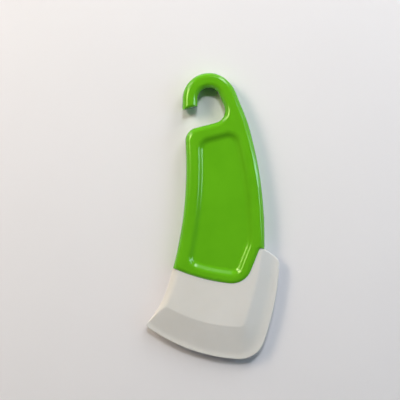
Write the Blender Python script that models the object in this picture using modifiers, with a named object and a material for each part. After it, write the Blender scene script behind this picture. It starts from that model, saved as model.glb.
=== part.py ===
"""Kitchen pan scraper: a soft silicone blade and a plastic hook handle, both moulded over one hidden stiffening plate.

Metres, +Z up. The scraper lies flat on the lower rim of its handle: the hook points to +Y, the wiping lip to -Y, and
the origin is under the middle of its plan. The drawing's own coordinates start at the middle of the nominal plan, on
the mould's parting plane, and every piece is the same above and below that plane.

Plan points are complex numbers, x + yj. An outline runs counter-clockwise, with the solid on its left.
"""

import cmath
import math
from collections import namedtuple

import bmesh
import bpy

# Overall size
LENGTH = 0.1600
WIDTH = 0.0746

# Hook: a bent bar that ends in a short straight arm, cut off on a slant
HOOK_RADIUS = 0.01475
HOOK_BAR = 0.0083
HOOK_ARM = 0.0048
HOOK_SETBACK = 0.00149
NECK_EASING = 0.0036
NECK_WIDTH = 0.0089
NECK_FILLET = 0.0600
MOUTH = 0.0115
MOUTH_SLANT = math.radians(14.5)
EYE_LEAN = math.radians(22.0)
EYE_FILLET = 0.0070
TIP_ROUND = 0.0018

# Grip: hollow on the left, crowned on the right
GRIP_WIDTH = 0.0437
GRIP_OFFSET = 0.00675
LEFT_BOW = 0.2212
LEFT_HOLLOW_Y = 0.0277
RIGHT_BOW = 0.2264
RIGHT_CROWN_Y = -0.0121
SHOULDER_FILLET = 0.0073

# Collar: the handle's lower edge, which the blade butts against
COLLAR_BOW = 0.1000
COLLAR_LOW_X = 0.0190
COLLAR_LOW_Y = -0.0377
COLLAR_FILLET = 0.0115
COLLAR_LEAN = math.radians(21.7)
COLLAR_ROUND = 0.0006

# Handle thickness and its dished thumb panels
HANDLE_THICKNESS = 0.0100
EDGE_ROUND = 0.0032
PANEL_DEPTH = 0.0018
PANEL_SLOPE = 0.0055
RIM_LEFT = 0.0053
RIM_RIGHT = 0.0053
RIM_TOP = 0.0054
RIM_FOOT = 0.0033
PANEL_TOP_LEFT_FILLET = 0.0085
PANEL_TOP_RIGHT_FILLET = 0.0085
PANEL_LOW_LEFT_FILLET = 0.0060
PANEL_LOW_RIGHT_FILLET = 0.0075
PANEL_HIP_FILLET = 0.0200

# Blade: toe at the lower left, heel beside the collar, wiping lip along the front and the right side
HEEL_Y = -0.0183
HEEL_BOW = 0.0323
HEEL_TILT = math.radians(27.7)
HEEL_FILLET = 0.0052
LEDGE = 0.0025
LEDGE_FILLET = 0.0018
SIDE_BOW = 0.1607
SIDE_CROWN_Y = -0.0176
FRONT_BOW = 0.0935
FRONT_LOW_X = 0.0185
FRONT_FILLET = 0.0147
TOE_REACH = 0.0381
TOE_BEND_Y = -0.0400
TOE_HOLLOW = 0.0550
TOE_FILLET = 0.0016

# Blade thickness
BLADE_THICKNESS = 0.0080
BACK_ROUND = 0.0045
LIP_THICKNESS = 0.0016
LIP_ROUND = 0.0005
LIP_LAND = 0.0014
LIP_RISE = 0.00006
FRONT_FACET_TOE = 0.0155
FRONT_FACET_CORNER = 0.0196
FRONT_CREASE_X = 0.0137
FRONT_CREASE_BOW = 0.0810
SIDE_FACET_TOP = 0.0107
SIDE_FACET_LOW = 0.0152
SIDE_CREASE_BOW = 0.2290
FACET_EASING = 0.12
FACET_OVERRUN = 0.0060
CREASE_FILLET = 0.0030
CREASE_RISE = 0.00005

# Blade root, held inside the collar
ROOT_THICKNESS = 0.0044
ROOT_LAP = 0.0060
ROOT_SEAT = 0.0030
ROOT_WIDTH = 0.0260
ROOT_FILLET = 0.0020

# Stiffening plate inside the blade, with its tang in the grip
PLATE_THICKNESS = 0.0024
PLATE_FROM_BACK = 0.0070
PLATE_FROM_FRONT = 0.0120
PLATE_FROM_SIDE = 0.0100
PLATE_FROM_COLLAR = 0.0040
PLATE_FILLET = 0.0030
PLATE_EDGE = 0.0003
TANG_WIDTH = 0.0180
TANG_X = 0.0030
TANG_TOP_Y = 0.0120
TANG_FILLET = 0.0080
TANG_ROOT_FILLET = 0.0030

# Windows in the plate, through which the silicone and the handle's plastic join up
BLADE_WINDOW_RADIUS = 0.0040
BLADE_WINDOW_PITCH = 0.0130
BLADE_WINDOW_X = 0.0015
BLADE_WINDOW_DROP = 0.0140
BLADE_WINDOWS = 3
TANG_WINDOW_RADIUS = 0.0040
TANG_WINDOW_PITCH = 0.0140
TANG_WINDOW_TOP = 0.0110
TANG_WINDOWS = 2

# Clearance between neighbouring pieces
FIT_GAP = 0.0003

# Fineness: how far a chord may leave its arc, and the chords of a rounded edge or slope
CHORD_ERROR = 0.00004
EDGE_CHORDS = 6
BACK_CHORDS = 6
LIP_CHORDS = 2
SLOPE_CHORDS = 3
SMALLEST_FILLET = 0.0003
LONGEST_ARC = math.radians(270)
WELD_DISTANCE = 0.00001
CUTTER_REACH = 0.0010
CUTTER_LEAD = 0.0002
SHARP_ANGLE = math.radians(40)
FACET_STATIONS = (0.0, 0.06, 0.12, 0.5, 0.88, 0.94, 1.0)

# Finishes: linear colour, roughness
GREEN_POLYPROPYLENE = ((0.119, 0.423, 0.010), 0.28)
WHITE_SILICONE = ((0.720, 0.705, 0.660), 0.55)
BLACK_NYLON = ((0.020, 0.020, 0.022), 0.50)

Line = namedtuple("Line", "point heading")
Arc = namedtuple("Arc", "centre radius")
Corner = namedtuple("Corner", "near radius")
Side = namedtuple("Side", "curve corner")

TANGENT = None


def inset(curve, distance):
    """The curve moved into the solid. An arc's radius is negative where the outline is hollow."""
    if isinstance(curve, Line):
        return Line(curve.point + 1j * distance * curve.heading, curve.heading)
    return Arc(curve.centre, curve.radius - distance)


def reverse(curve):
    """The curve as the piece on its other side sees it."""
    if isinstance(curve, Line):
        return Line(curve.point, -curve.heading)
    return Arc(curve.centre, -curve.radius)


def foot(line, point):
    """The point of a line that is closest to a given point."""
    along = (line.heading.conjugate() * (point - line.point)).real
    return line.point + along * line.heading


def meet(one, other, near):
    """Where two curves cross, at the crossing closest to a given point."""
    if isinstance(one, Line) and isinstance(other, Line):
        across = (one.heading.conjugate() * other.heading).imag
        along = ((other.point - one.point).conjugate() * other.heading).imag / across
        return one.point + along * one.heading
    if isinstance(one, Line):
        one, other = other, one
    if isinstance(other, Line):
        middle = foot(other, one.centre)
        half = math.sqrt(one.radius**2 - abs(middle - one.centre) ** 2) * other.heading
    else:
        apart = other.centre - one.centre
        along = (abs(apart) ** 2 + one.radius**2 - other.radius**2) / (2 * abs(apart))
        middle = one.centre + along * apart / abs(apart)
        half = math.sqrt(one.radius**2 - along**2) * 1j * apart / abs(apart)
    return min(middle + half, middle - half, key=lambda point: abs(point - near))


def touch(one, other):
    """Where two curves that are tangent by construction touch."""
    if isinstance(one, Line):
        return foot(one, other.centre)
    if isinstance(other, Line):
        return foot(other, one.centre)
    return one.centre + one.radius * (other.centre - one.centre) / (one.radius - other.radius)


def outward(curve, fillet_centre, radius):
    """The direction that points out of the solid where a fillet touches the curve."""
    if isinstance(curve, Line):
        return -1j * curve.heading
    return (fillet_centre - curve.centre) / (curve.radius - radius)


def joint(one, other, corner):
    """How one side passes into the next: its end, the next one's start, and the fillet's arc if there is one."""
    if corner.radius is TANGENT:
        point = touch(one, other)
        return point, point, None
    if corner.radius == 0:
        point = meet(one, other, corner.near)
        return point, point, None
    radius = corner.radius
    centre = meet(inset(one, radius), inset(other, radius), corner.near)
    start = centre + radius * outward(one, centre, radius)
    end = centre + radius * outward(other, centre, radius)
    return start, end, Arc(centre, radius)


def runs(outline):
    """The stretches of an outline, sides and fillets in turn: curve, start and end."""
    joints = []
    for side, after in zip(outline, outline[1:] + outline[:1]):
        joints.append(joint(side.curve, after.curve, side.corner))
    stretches = []
    for index, side in enumerate(outline):
        start, end, fillet = joints[index]
        stretches.append((side.curve, joints[index - 1][1], start))
        if fillet:
            stretches.append((fillet, start, end))
    return close_up(stretches)


def close_up(stretches):
    """The stretches with any arc that insets have used up shrunk to the point where its neighbours cross."""
    for index, (curve, start, end) in enumerate(stretches):
        if isinstance(curve, Arc) and abs(sweep(curve, start, end)) > LONGEST_ARC:
            following = (index + 1) % len(stretches)
            before, after = stretches[index - 1], stretches[following]
            crossing = meet(before[0], after[0], start)
            stretches[index - 1] = (before[0], before[1], crossing)
            stretches[index] = (curve, crossing, crossing)
            stretches[following] = (after[0], crossing, after[2])
    return stretches


def sweep(arc, start, end):
    """The angle from start to end, positive on a crowned arc and negative on a hollow one."""
    if start == end:
        return 0.0
    turn = cmath.phase((end - arc.centre) / (start - arc.centre)) % math.tau
    return turn if arc.radius > 0 else turn - math.tau


def chords(outline):
    """How many chords follow each stretch closely enough."""
    counts = []
    for curve, start, end in runs(outline):
        if isinstance(curve, Line):
            counts.append(1)
        else:
            step = 2 * math.acos(1 - CHORD_ERROR / abs(curve.radius))
            counts.append(max(1, math.ceil(abs(sweep(curve, start, end)) / step)))
    return counts


def trace(outline, counts=None):
    """The points of an outline. With the counts of another outline, the two match point by point."""
    points = []
    for (curve, start, end), count in zip(runs(outline), counts or chords(outline)):
        for index in range(count):
            if isinstance(curve, Line):
                points.append(start + (end - start) * index / count)
            else:
                turn = cmath.exp(1j * sweep(curve, start, end) * index / count)
                points.append(curve.centre + (start - curve.centre) * turn)
    return points


def offset(outline, insets):
    """An outline with each side moved into the solid by its own inset, and with its fillets fitted to that."""
    moved = []
    for side, own, after in zip(outline, insets, insets[1:] + insets[:1]):
        corner = side.corner
        if corner.radius:
            radius = corner.radius - max(own, after)
            if corner.radius > 0:
                radius = max(radius, SMALLEST_FILLET)
            corner = corner._replace(radius=radius)
        moved.append(Side(inset(side.curve, own), corner))
    return moved


def parallel(outline, distance):
    """An outline with every side moved into the solid by the same distance."""
    return offset(outline, [distance] * len(outline))


def circle(centre, radius):
    """A round hole's points, as finely as the outlines are traced."""
    count = math.ceil(math.pi / math.acos(1 - CHORD_ERROR / radius))
    return [centre + cmath.rect(radius, math.tau * index / count) for index in range(count)]


def hook_centre():
    """The middle of the hook's bend, set back from the crowned right side of the grip."""
    back = grip_right()
    reach = back.radius - HOOK_SETBACK - HOOK_RADIUS
    height = LENGTH / 2 - HOOK_RADIUS
    return complex(back.centre.real + math.sqrt(reach**2 - (height - back.centre.imag) ** 2), height)


def grip_left():
    x = GRIP_OFFSET - GRIP_WIDTH / 2
    return Arc(complex(x - LEFT_BOW, LEFT_HOLLOW_Y), -LEFT_BOW)


def grip_right():
    x = GRIP_OFFSET + GRIP_WIDTH / 2
    return Arc(complex(x - RIGHT_BOW, RIGHT_CROWN_Y), RIGHT_BOW)


def hook_end():
    """The slanting cut across the hook's arm."""
    middle = hook_centre() - complex(HOOK_RADIUS - HOOK_BAR / 2, HOOK_ARM)
    return Line(middle, cmath.rect(1, MOUTH_SLANT))


def shoulder():
    """The grip's upper edge, parallel to the hook's end across the mouth."""
    end = hook_end()
    return Line(end.point - 1j * MOUTH * end.heading, -end.heading)


def eye_side():
    """The straight right side of the eye, tangent to the inside of the hook's bend."""
    heading = cmath.rect(1, EYE_LEAN - math.pi / 2)
    return Line(hook_centre() + 1j * (HOOK_RADIUS - HOOK_BAR) * heading, heading)


def neck():
    """The straight outer side of the neck, parallel to the eye's straight side."""
    return inset(reverse(eye_side()), -NECK_WIDTH)


def collar():
    return Arc(complex(COLLAR_LOW_X, COLLAR_LOW_Y + COLLAR_BOW), COLLAR_BOW)


def heel_start():
    """The end of the collar on the grip's right side, where the blade's heel begins."""
    back = grip_right()
    reach = math.sqrt(back.radius**2 - (HEEL_Y - back.centre.imag) ** 2)
    return complex(back.centre.real + reach, HEEL_Y)


def heel():
    return Arc(heel_start() - cmath.rect(HEEL_BOW, math.pi / 2 - HEEL_TILT), HEEL_BOW)


def ledge_start():
    """The inner end of the short ledge by which the handle overhangs the heel."""
    plumb = Line(heel_start() - LEDGE, 1j)
    return meet(heel(), plumb, heel_start())


def collar_side():
    """The leaning stretch of the collar between its rounded corner and the ledge."""
    return Line(ledge_start(), cmath.rect(1, math.pi / 2 - COLLAR_LEAN))


def front():
    return Arc(complex(FRONT_LOW_X, FRONT_BOW - LENGTH / 2), FRONT_BOW)


def blade_side():
    return Arc(complex(WIDTH / 2 - SIDE_BOW, SIDE_CROWN_Y), SIDE_BOW)


def toe():
    """The sharp corner of the toe, before it is rounded."""
    arc = front()
    drop = math.sqrt(arc.radius**2 - (TOE_REACH + arc.centre.real) ** 2)
    return complex(-TOE_REACH, arc.centre.imag - drop)


def toe_side():
    """The hollow that carries the grip's left side on to the toe, tangent to it."""
    left = grip_left()
    bend = meet(left, Line(1j * TOE_BEND_Y, 1), complex(-WIDTH / 2, TOE_BEND_Y))
    return Arc(bend + TOE_HOLLOW * (left.centre - bend) / LEFT_BOW, -TOE_HOLLOW)


def bowed(start, end, radius):
    """The crowned arc of a given radius from one point to another."""
    chord = end - start
    back = math.sqrt(radius**2 - abs(chord / 2) ** 2)
    return Arc((start + end) / 2 + 1j * back * chord / abs(chord), radius)


def front_crease():
    """The line along which the middle of the blade passes into the front's facet."""
    at_toe = meet(inset(front(), FRONT_FACET_TOE), Line(toe(), 1j), toe())
    at_corner = meet(inset(front(), FRONT_FACET_CORNER), Line(FRONT_CREASE_X + 0j, 1j), toe())
    return bowed(at_toe, at_corner, FRONT_CREASE_BOW)


def side_crease():
    """The line along which the middle of the blade passes into the side's facet."""
    low_y = FRONT_FACET_CORNER - LENGTH / 2
    high = meet(blade_side(), Line(1j * HEEL_Y, 1), complex(WIDTH / 2, HEEL_Y)) - SIDE_FACET_TOP
    low = meet(blade_side(), Line(1j * low_y, 1), complex(WIDTH / 2, low_y)) - SIDE_FACET_LOW
    return bowed(low, high, SIDE_CREASE_BOW)


def between(one, other, along):
    """An arc part of the way from one arc to another."""
    centre = one.centre + (other.centre - one.centre) * along
    return Arc(centre, one.radius + (other.radius - one.radius) * along)


def collar_left():
    """The end of the collar on the grip's left side."""
    return meet(grip_left(), collar(), complex(GRIP_OFFSET - GRIP_WIDTH / 2, COLLAR_LOW_Y))


def collar_corner():
    """The sharp corner of the collar's arc and its leaning stretch, before it is rounded."""
    return meet(collar(), collar_side(), complex(COLLAR_LOW_X, COLLAR_LOW_Y))


def handle_outline():
    """The whole handle, from its shoulder down the left side and round."""
    bend = hook_centre()
    inner = HOOK_RADIUS - HOOK_BAR
    low_left = bend - complex(HOOK_RADIUS, HOOK_RADIUS)
    return [
        Side(grip_left(), Corner(collar_left(), 0)),
        Side(collar(), Corner(collar_corner(), COLLAR_FILLET)),
        Side(collar_side(), Corner(ledge_start(), -LEDGE_FILLET)),
        Side(reverse(heel()), Corner(heel_start(), 0)),
        Side(grip_right(), Corner(bend + HOOK_RADIUS, NECK_FILLET)),
        Side(neck(), Corner(bend - 1j * NECK_EASING, HOOK_RADIUS + NECK_EASING)),
        Side(Arc(bend, HOOK_RADIUS), Corner(bend, TANGENT)),
        Side(Line(bend - HOOK_RADIUS, -1j), Corner(low_left, 0)),
        Side(hook_end(), Corner(low_left, 0)),
        Side(Line(bend - inner, 1j), Corner(bend, TANGENT)),
        Side(Arc(bend, -inner), Corner(bend, TANGENT)),
        Side(eye_side(), Corner(low_left, -EYE_FILLET)),
        Side(shoulder(), Corner(low_left - 1j * MOUTH, SHOULDER_FILLET)),
    ]


def handle_rounds():
    """The radius of the rounded edge along each side of the handle's outline."""
    free = EDGE_ROUND
    foot_edge = COLLAR_ROUND
    return [free] + [foot_edge] * 3 + [free] * 4 + [TIP_ROUND] + [free] * 4


def handle_clearances():
    """How far each side of the handle's outline keeps back from the blade."""
    return [0.0, FIT_GAP, FIT_GAP, FIT_GAP] + [0.0] * 9


def blade_outline():
    """The blade in front of the collar, from the collar's left end down the back and round."""
    return [
        Side(grip_left(), Corner(collar_left(), TANGENT)),
        Side(toe_side(), Corner(toe(), TOE_FILLET)),
        Side(front(), Corner(complex(WIDTH / 2, -LENGTH / 2), FRONT_FILLET)),
        Side(blade_side(), Corner(complex(WIDTH / 2, HEEL_Y), HEEL_FILLET)),
        Side(heel(), Corner(ledge_start(), LEDGE_FILLET)),
        Side(reverse(collar_side()), Corner(collar_corner(), -COLLAR_FILLET)),
        Side(reverse(collar()), Corner(collar_left(), 0)),
    ]


def facet_level(lip_inset, along):
    """The facets' plan part of the way from the lip to the creases, run on past the blade's back and heel."""
    far_left = complex(-TOE_REACH - FACET_OVERRUN, HEEL_Y)
    far_top = complex(0.0, HEEL_Y + FACET_OVERRUN)
    front_curve = between(inset(front(), lip_inset), front_crease(), along)
    side_curve = between(inset(blade_side(), lip_inset), side_crease(), along)
    fillet = FRONT_FILLET + (CREASE_FILLET - FRONT_FILLET) * along
    return [
        Side(Line(far_left, -1j), Corner(toe(), 0)),
        Side(front_curve, Corner(complex(WIDTH / 2, -LENGTH / 2), fillet)),
        Side(side_curve, Corner(complex(WIDTH / 2, HEEL_Y), 0)),
        Side(Line(far_top, -1), Corner(far_left, 0)),
    ]


def root_outline():
    """The tongue of silicone that the collar holds. Its lower part lies within the blade and joins it."""
    left = complex(TANG_X - ROOT_WIDTH / 2, COLLAR_LOW_Y)
    right = complex(TANG_X + ROOT_WIDTH / 2, COLLAR_LOW_Y)
    return [
        Side(Line(left, -1j), Corner(left, 0)),
        Side(inset(collar(), -ROOT_SEAT), Corner(right, 0)),
        Side(Line(right, 1j), Corner(right, ROOT_FILLET)),
        Side(reverse(inset(collar(), ROOT_LAP)), Corner(left, ROOT_FILLET)),
    ]


def plate_outline():
    """The stiffening plate: its broad part within the blade and its tang up the middle of the grip."""
    below = inset(reverse(collar()), PLATE_FROM_COLLAR)
    left = complex(TANG_X - TANG_WIDTH / 2, TANG_TOP_Y)
    right = complex(TANG_X + TANG_WIDTH / 2, TANG_TOP_Y)
    return [
        Side(inset(grip_left(), PLATE_FROM_BACK), Corner(collar_left(), TANGENT)),
        Side(inset(toe_side(), PLATE_FROM_BACK), Corner(toe(), PLATE_FILLET)),
        Side(inset(front(), PLATE_FROM_FRONT), Corner(complex(WIDTH / 2, -LENGTH / 2), PLATE_FILLET)),
        Side(inset(blade_side(), PLATE_FROM_SIDE), Corner(collar_corner(), PLATE_FILLET)),
        Side(below, Corner(complex(right.real, COLLAR_LOW_Y), -TANG_ROOT_FILLET)),
        Side(Line(right, 1j), Corner(right, TANG_FILLET)),
        Side(Line(left, -1), Corner(left, TANG_FILLET)),
        Side(Line(left, -1j), Corner(complex(left.real, COLLAR_LOW_Y), -TANG_ROOT_FILLET)),
        Side(below, Corner(collar_left(), PLATE_FILLET)),
    ]


def panel_outline():
    """The lip of the thumb panel, which keeps a rim inside the handle's edges."""
    hip = heel_start()
    top_right = complex(hip.real, shoulder().point.imag)
    return [
        Side(inset(grip_left(), RIM_LEFT), Corner(collar_left(), PANEL_LOW_LEFT_FILLET)),
        Side(inset(collar(), RIM_FOOT), Corner(collar_corner(), PANEL_LOW_RIGHT_FILLET)),
        Side(inset(collar_side(), RIM_FOOT), Corner(hip, PANEL_HIP_FILLET)),
        Side(inset(grip_right(), RIM_RIGHT), Corner(top_right, PANEL_TOP_RIGHT_FILLET)),
        Side(inset(shoulder(), RIM_TOP), Corner(shoulder().point, PANEL_TOP_LEFT_FILLET)),
    ]


def window_centres():
    """The middles of the plate's windows: a row under the collar, and a row down the tang."""
    low = inset(reverse(collar()), BLADE_WINDOW_DROP)
    in_blade = []
    for index in range(BLADE_WINDOWS):
        x = BLADE_WINDOW_X + (index - (BLADE_WINDOWS - 1) / 2) * BLADE_WINDOW_PITCH
        in_blade.append(meet(low, Line(complex(x, COLLAR_LOW_Y), 1j), complex(x, COLLAR_LOW_Y)))
    first = TANG_TOP_Y - TANG_WINDOW_TOP
    in_tang = [complex(TANG_X, first - index * TANG_WINDOW_PITCH) for index in range(TANG_WINDOWS)]
    return in_blade, in_tang


def edge_inset(height, half_thickness, radius):
    """How far a rounded edge has drawn in at this height above the parting plane."""
    rise = max(0.0, height - (half_thickness - radius))
    return radius - math.sqrt(radius**2 - rise**2)


def eased_ramp(along):
    """A ramp from 0 to 1 that starts and ends level, straight between its two eased ends."""
    slope = 1 / (1 - FACET_EASING)
    if along < FACET_EASING:
        return slope * along**2 / (2 * FACET_EASING)
    if along > 1 - FACET_EASING:
        return 1 - slope * (1 - along) ** 2 / (2 * FACET_EASING)
    return slope * (along - FACET_EASING / 2)


def add_mesh_object(name, mesh, group, frame):
    """A named object in one of the collections, carried by the scraper's empty."""
    obj = bpy.data.objects.new(name, mesh)
    group.objects.link(obj)
    obj.parent = frame
    return obj


def loft(name, levels, closed_below, group, frame):
    """A stack of level outlines that match point by point. Left open below, it is half of a mirrored solid."""
    sheet = bmesh.new()
    rings = [[sheet.verts.new((point.real, point.imag, height)) for point in points] for points, height in levels]
    count = len(rings[0])
    for lower, upper in zip(rings, rings[1:]):
        for index in range(count):
            after = (index + 1) % count
            sheet.faces.new((lower[index], lower[after], upper[after], upper[index]))
    sheet.faces.new(rings[-1])
    if closed_below:
        sheet.faces.new(rings[0][::-1])
    bmesh.ops.remove_doubles(sheet, verts=sheet.verts, dist=WELD_DISTANCE / 10)
    mesh = bpy.data.meshes.new(name)
    sheet.to_mesh(mesh)
    sheet.free()
    return add_mesh_object(name, mesh, group, frame)


def slab(name, outlines, thickness, group, frame):
    """A flat piece from filled 2D outlines, the later ones holes, centred on the parting plane."""
    curve = bpy.data.curves.new(name, "CURVE")
    curve.dimensions = "2D"
    curve.fill_mode = "BOTH"
    curve.extrude = thickness / 2
    for points in outlines:
        spline = curve.splines.new("POLY")
        spline.points.add(len(points) - 1)
        for knot, point in zip(spline.points, points):
            knot.co = (point.real, point.imag, 0.0, 1.0)
        spline.use_cyclic_u = True
    drawn = bpy.data.objects.new(name, curve)
    group.objects.link(drawn)
    evaluated = drawn.evaluated_get(bpy.context.evaluated_depsgraph_get())
    mesh = bpy.data.meshes.new_from_object(evaluated)
    bpy.data.objects.remove(drawn)
    bpy.data.curves.remove(curve)
    welded = bmesh.new()
    welded.from_mesh(mesh)
    bmesh.ops.remove_doubles(welded, verts=welded.verts, dist=WELD_DISTANCE)
    welded.to_mesh(mesh)
    welded.free()
    mesh.name = name
    return add_mesh_object(name, mesh, group, frame)


def mirror(obj):
    """The half above the parting plane, repeated below it."""
    modifier = obj.modifiers.new("lower half", "MIRROR")
    modifier.use_axis = (False, False, True)
    modifier.merge_threshold = WELD_DISTANCE


def combine(obj, operation, tool):
    modifier = obj.modifiers.new(f"{operation.lower()} {tool.name}", "BOOLEAN")
    modifier.operation = operation
    modifier.object = tool
    modifier.solver = "EXACT"


def finish(obj, name, finish_values):
    """Smooth shading over the rounded edges, and the piece's own material."""
    colour, roughness = finish_values
    obj.data.shade_smooth()
    obj.data.set_sharp_from_angle(angle=SHARP_ANGLE)
    material = bpy.data.materials.new(name)
    material.use_nodes = True
    shader = material.node_tree.nodes["Principled BSDF"]
    shader.inputs["Base Color"].default_value = (*colour, 1.0)
    shader.inputs["Roughness"].default_value = roughness
    shader.inputs["Metallic"].default_value = 0.0
    obj.data.materials.append(material)


def make_handle(parts, cutters, frame):
    """The handle's moulding, dished on both faces and hollowed for the blade's root and the plate's tang."""
    half = HANDLE_THICKNESS / 2
    outline = handle_outline()
    counts = chords(outline)
    heights = [0.0]
    for index in range(EDGE_CHORDS + 1):
        heights.append(half - EDGE_ROUND * (1 - math.sin(math.pi / 2 * index / EDGE_CHORDS)))
    levels = []
    for height in heights:
        drawn_in = [edge_inset(height, half, radius) for radius in handle_rounds()]
        insets = [inner + clear for inner, clear in zip(drawn_in, handle_clearances())]
        levels.append((trace(offset(outline, insets), counts), height))
    handle = loft("handle", levels, False, parts, frame)
    mirror(handle)
    combine(handle, "DIFFERENCE", make_panel_cutter(cutters, frame))
    combine(handle, "DIFFERENCE", make_root("root_room", FIT_GAP, cutters, frame))
    return handle


def make_panel_cutter(cutters, frame):
    """The space of the thumb panels: a level floor, a slope that eases out at its foot and its lip, and room above."""
    half = HANDLE_THICKNESS / 2
    outline = panel_outline()
    steepest = 2 * math.atan(PANEL_DEPTH / PANEL_SLOPE)
    radius = PANEL_SLOPE / (2 * math.sin(steepest))
    slope = []
    for index in range(SLOPE_CHORDS + 1):
        turn = steepest * index / SLOPE_CHORDS
        slope.append((radius * math.sin(turn), radius * (1 - math.cos(turn))))
    slope += [(PANEL_SLOPE - run, PANEL_DEPTH - drop) for run, drop in slope[-2::-1]]
    first_run, first_drop = slope[1]
    lead = (-CUTTER_LEAD, -CUTTER_LEAD * first_drop / first_run)
    section = [(-CUTTER_LEAD, -CUTTER_REACH), lead] + slope
    counts = chords(outline)
    levels = [(trace(parallel(outline, run), counts), half - drop) for run, drop in section[::-1]]
    cutter = loft("panel_room", levels, True, cutters, frame)
    mirror(cutter)
    return cutter


def make_root(name, growth, group, frame):
    """The blade's root, or the room for it when it is grown."""
    points = trace(parallel(root_outline(), -growth))
    return slab(name, [points], ROOT_THICKNESS + 2 * growth, group, frame)


def make_plate(name, growth, group, frame):
    """The stiffening plate, or the room for it when it is grown. Growing shrinks its windows."""
    outlines = [trace(parallel(plate_outline(), -growth))]
    in_blade, in_tang = window_centres()
    outlines += [circle(centre, BLADE_WINDOW_RADIUS - growth) for centre in in_blade]
    outlines += [circle(centre, TANG_WINDOW_RADIUS - growth) for centre in in_tang]
    return slab(name, outlines, PLATE_THICKNESS + 2 * growth, group, frame)


def make_facet_block(cutters, frame):
    """The solid under the facets: level land at the lip, then a ramp that is eased at both ends."""
    lip = LIP_THICKNESS / 2
    top = BLADE_THICKNESS / 2 + CREASE_RISE
    land = lip + LIP_RISE
    before_lip = facet_level(-CUTTER_REACH, 0.0)
    counts = chords(before_lip)
    levels = [(before_lip, 0.0), (before_lip, lip - LIP_RISE * CUTTER_REACH / LIP_LAND)]
    for along in FACET_STATIONS:
        levels.append((facet_level(LIP_LAND, along), land + (top - land) * eased_ramp(along)))
    block = loft("facet_block", [(trace(level, counts), height) for level, height in levels], False, cutters, frame)
    mirror(block)
    return block


def make_blade(parts, cutters, frame):
    """The silicone moulding: a slab with a rounded back and a rounded lip, brought down to its facets."""
    half = BLADE_THICKNESS / 2
    lip = LIP_THICKNESS / 2
    outline = blade_outline()
    counts = chords(outline)
    heights = [0.0]
    for index in range(LIP_CHORDS + 1):
        heights.append(lip - LIP_ROUND * (1 - math.sin(math.pi / 2 * index / LIP_CHORDS)))
    lowest = math.asin(lip / half)
    for index in range(1, BACK_CHORDS + 1):
        heights.append(half * math.sin(lowest + (math.pi / 2 - lowest) * index / BACK_CHORDS))
    levels = []
    for height in heights:
        back = BACK_ROUND * (1 - math.sqrt(max(0.0, 1 - (height / half) ** 2)))
        lip_inset = edge_inset(min(height, lip), lip, LIP_ROUND)
        level = offset(outline, [back, back, lip_inset, lip_inset, 0.0, 0.0, 0.0])
        levels.append((trace(level, counts), height))
    blade = loft("blade", levels, False, parts, frame)
    mirror(blade)
    combine(blade, "INTERSECT", make_facet_block(cutters, frame))
    combine(blade, "UNION", make_root("root_shape", 0.0, cutters, frame))
    return blade


def plan_middle():
    """The middle of the finished plan, which the origin sits under."""
    points = trace(offset(handle_outline(), handle_clearances())) + trace(blade_outline())
    xs = [point.real for point in points]
    ys = [point.imag for point in points]
    return (min(xs) + max(xs)) / 2, (min(ys) + max(ys)) / 2


def main():
    for obj in list(bpy.data.objects):
        bpy.data.objects.remove(obj, do_unlink=True)
    parts = bpy.data.collections.new("silicone_scraper")
    cutters = bpy.data.collections.new("cutters")
    for group in (parts, cutters):
        bpy.context.scene.collection.children.link(group)

    frame = bpy.data.objects.new("parting_plane", None)
    middle_x, middle_y = plan_middle()
    frame.location = (-middle_x, -middle_y, HANDLE_THICKNESS / 2)
    parts.objects.link(frame)

    plate = make_plate("core_plate", 0.0, parts, frame)
    broken_edge = plate.modifiers.new("broken edge", "BEVEL")
    broken_edge.width = PLATE_EDGE
    broken_edge.segments = 1
    broken_edge.limit_method = "ANGLE"
    broken_edge.angle_limit = SHARP_ANGLE
    blade = make_blade(parts, cutters, frame)
    handle = make_handle(parts, cutters, frame)
    plate_room = make_plate("plate_room", FIT_GAP, cutters, frame)
    for piece in (blade, handle):
        combine(piece, "DIFFERENCE", plate_room)

    finish(plate, "black_nylon", BLACK_NYLON)
    finish(blade, "white_silicone", WHITE_SILICONE)
    finish(handle, "green_polypropylene", GREEN_POLYPROPYLENE)
    for cutter in cutters.objects:
        cutter.hide_render = True
        cutter.display_type = "WIRE"


main()
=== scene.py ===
"""Looks of a kitchen pan scraper: a white silicone blade and a green polypropylene hook handle, both
moulded over a hidden nylon plate. Metres throughout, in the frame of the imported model.

Plan points are complex numbers, x + yj, measured from the middle of the nominal plan. Heights start at
the mould's parting plane, half way up the handle. An outline runs counter-clockwise, with the solid on
its left.
"""

import cmath
import math
from collections import namedtuple

import bmesh
import bpy
import numpy
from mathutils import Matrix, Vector
from mathutils.bvhtree import BVHTree
from mathutils.geometry import delaunay_2d_cdt


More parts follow.
